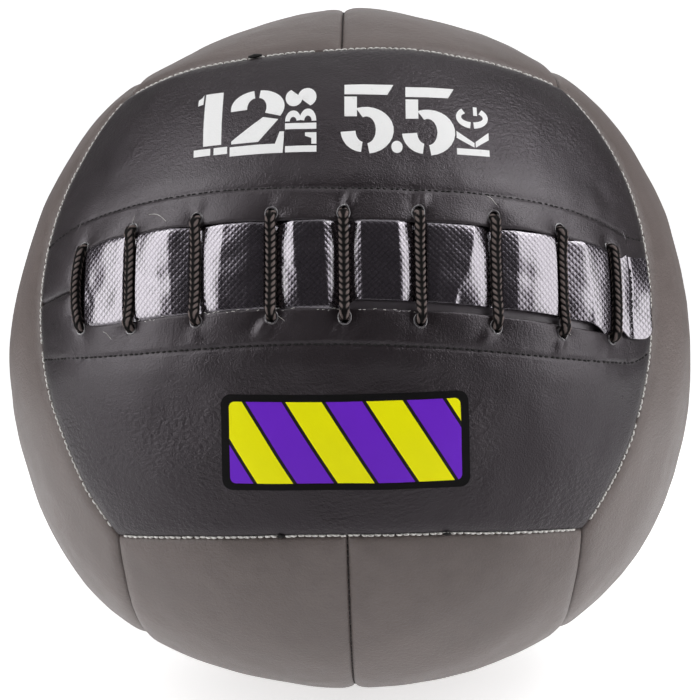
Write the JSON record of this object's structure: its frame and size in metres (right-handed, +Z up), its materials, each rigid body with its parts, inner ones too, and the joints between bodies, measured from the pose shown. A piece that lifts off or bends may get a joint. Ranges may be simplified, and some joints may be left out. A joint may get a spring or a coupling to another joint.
{
  "type": "wall ball",
  "caption": "Soft stuffed ball for throwing and catching, sewn from curved panels, with a laced filling mouth across its front and a sand core in fibre stuffing.",
  "frame": {"origin": "On the floor, under the middle of the ball's bounding box.", "axes": "+Z up, -Y out of the laced mouth, +X to the right as seen facing the mouth. The ball is leaned back, so the middle of the mouth looks out and up by 18.9 degrees."},
  "size_m": [0.355, 0.3406, 0.3489],
  "materials": {
    "black_vinyl": "grained vinyl-coated fabric, satin",
    "grey_vinyl": "grained vinyl-coated fabric, satin",
    "coated_mesh": "glossy coated mesh",
    "lining_vinyl": "plain vinyl-coated fabric",
    "braided_cord": "braided polyester cord",
    "hem_tape": "woven tape",
    "wadding": "matted fibre",
    "core_sheet": "thick flexible sheet",
    "sand": "dry sand"
  },
  "bodies": {
    "root": {"front_upper_panel": "black_vinyl", "front_lower_panel": "black_vinyl", "lace_tongue": "coated_mesh", "mouth_lining": "lining_vinyl", "lace": "braided_cord", "upper_hem_tape": "hem_tape", "lower_hem_tape": "hem_tape", "front_stuffing": "wadding", "back_stuffing": "wadding", "core_bag": "core_sheet", "core_fill": "sand", "core_tie": "braided_cord", "top_left_panel": "grey_vinyl", "top_right_panel": "grey_vinyl", "bottom_left_panel": "grey_vinyl", "bottom_right_panel": "grey_vinyl", "left_front_panel": "grey_vinyl", "left_back_panel": "grey_vinyl", "right_front_panel": "grey_vinyl", "right_back_panel": "grey_vinyl", "back_upper_panel": "grey_vinyl", "back_lower_panel": "grey_vinyl"}
  },
  "joints": []
}
